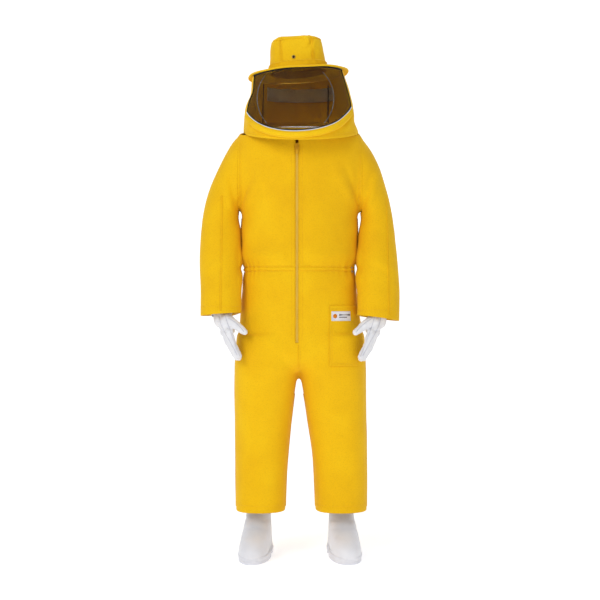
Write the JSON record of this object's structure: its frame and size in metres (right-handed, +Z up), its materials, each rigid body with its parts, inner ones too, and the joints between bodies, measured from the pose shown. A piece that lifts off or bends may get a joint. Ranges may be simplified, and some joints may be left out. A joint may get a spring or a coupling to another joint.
{
  "type": "beekeeping suit",
  "caption": "One-piece ventilated beekeeping coverall with a brimmed hat and netting veil on a zip-off hood that folds back, a full-length front zip, a patch pocket, gloves and boots.",
  "frame": {"origin": "on the floor, under the middle of the suit as it stands on its boots", "axes": "+Z up along the body, front of the suit faces -Y, the wearer's left side is +X"},
  "size_m": [0.6772, 0.3776, 1.766],
  "materials": {
    "suit_fabric": "matte yellow spacer fabric with a fine dimpled face",
    "suit_trim": "matte yellow cloth, folded and stitched",
    "elastic": "matte ribbed elastic",
    "hood_fabric": "matte yellow spacer fabric",
    "rim_padding": "matte, softly padded",
    "veil_net": "black knotted net, see-through",
    "vent_net": "off-white net",
    "piping": "white cord piping",
    "hat_fabric": "matte yellow, smooth twill",
    "sweatband_cloth": "matte cotton",
    "wire": "bright spring wire",
    "eyelet_metal": "dull brass",
    "zip_tape": "matte woven tape",
    "zip_teeth": "semi-gloss moulded plastic",
    "zip_metal": "yellow enamelled zinc",
    "label_cloth": "smooth woven satin",
    "knit": "matte ribbed knit",
    "glove_leather": "soft matte white leather",
    "boot_rubber": "satin white rubber",
    "sole_rubber": "matte white rubber",
    "insole": "matte felt"
  },
  "bodies": {
    "coverall": {"bodice_back": "suit_fabric", "bodice_front_left": "suit_fabric", "bodice_front_right": "suit_fabric", "boot_insole_left": "insole", "boot_insole_right": "insole", "boot_sole_left": "sole_rubber", "boot_sole_right": "sole_rubber", "boot_upper_left": "boot_rubber", "boot_upper_right": "boot_rubber", "main_zip_tape_left": "zip_tape", "main_zip_tape_right": "zip_tape", "main_zip_teeth_left": "zip_teeth", "main_zip_teeth_right": "zip_teeth", "neck_zip_tape_lower": "zip_tape", "neck_zip_teeth_lower": "zip_teeth", "pocket_label": "label_cloth", "pocket_left": "suit_fabric", "shoulder_yoke": "suit_fabric", "trouser_back_left": "suit_fabric", "trouser_back_right": "suit_fabric", "trouser_front_left": "suit_fabric", "trouser_front_right": "suit_fabric", "waist_casing": "suit_trim", "waist_elastic": "elastic", "zip_underflap": "suit_trim"},
    "hood": {"veil_mesh": "veil_net", "veil_piping": "piping", "hood_rim": "rim_padding", "rear_vent_mesh": "vent_net", "hood_back_panel": "hood_fabric", "hood_side_left": "hood_fabric", "hood_side_right": "hood_fabric", "hood_base": "hood_fabric", "neck_zip_tape_upper": "zip_tape", "neck_zip_teeth_upper": "zip_teeth", "crown_front": "hat_fabric", "crown_back": "hat_fabric", "crown_side_left": "hat_fabric", "crown_side_right": "hat_fabric", "crown_lid": "hat_fabric", "hat_band": "hat_fabric", "sweatband": "sweatband_cloth", "hat_brim": "hat_fabric", "brim_wire": "wire", "crown_eyelet": "eyelet_metal", "veil_hoop": "wire"},
    "sleeve_left": {"sleeve_inner_left": "suit_fabric", "sleeve_outer_left": "suit_fabric", "storm_cuff_left": "knit"},
    "sleeve_right": {"sleeve_inner_right": "suit_fabric", "sleeve_outer_right": "suit_fabric", "storm_cuff_right": "knit"},
    "glove_left": {"glove_hand_left": "glove_leather", "glove_gauntlet_left": "glove_leather"},
    "glove_right": {"glove_hand_right": "glove_leather", "glove_gauntlet_right": "glove_leather"},
    "main_zip_slider": {"main_zip_slider": "zip_metal"},
    "main_zip_pull": {"main_zip_pull": "zip_metal"},
    "neck_zip_slider": {"neck_zip_slider": "zip_metal"},
    "neck_zip_pull": {"neck_zip_pull": "zip_metal"}
  },
  "joints": [
    {"name": "hood_fold", "type": "hinge", "parent": "coverall", "child": "hood", "pos_m": [0, 0.166, 1.474], "axis": [-1, 0, 0], "range_deg": [0, 110]},
    {"name": "shoulder_left", "type": "hinge", "parent": "coverall", "child": "sleeve_left", "pos_m": [0.206, 0.036, 1.335], "axis": [-1, 0, 0], "range_deg": [0, 80]},
    {"name": "shoulder_right", "type": "hinge", "parent": "coverall", "child": "sleeve_right", "pos_m": [-0.206, 0.036, 1.335], "axis": [-1, 0, 0], "range_deg": [0, 80]},
    {"name": "glove_pull_left", "type": "slide", "parent": "sleeve_left", "child": "glove_left", "axis": [0, -0.309, -0.9511], "range_m": [0, 0.22]},
    {"name": "glove_pull_right", "type": "slide", "parent": "sleeve_right", "child": "glove_right", "axis": [0, -0.309, -0.9511], "range_m": [0, 0.22]},
    {"name": "main_zip", "type": "slide", "parent": "coverall", "child": "main_zip_slider", "axis": [0, 0, -1], "range_m": [0, 0.63]},
    {"name": "main_zip_pull_swing", "type": "hinge", "parent": "main_zip_slider", "child": "main_zip_pull", "pos_m": [-0.01, -0.1183, 1.376], "axis": [-1, 0, 0], "range_deg": [0, 100]},
    {"name": "neck_zip", "type": "hinge", "parent": "coverall", "child": "neck_zip_slider", "pos_m": [0, 0.023, 1.441], "axis": [0, -0.2079, 0.9781], "range_deg": [0, 150]},
    {"name": "neck_zip_pull_swing", "type": "hinge", "parent": "neck_zip_slider", "child": "neck_zip_pull", "pos_m": [0.02923, -0.11277, 1.41827], "axis": [0, 0.2079, -0.9781], "range_deg": [0, 20]}
  ]
}
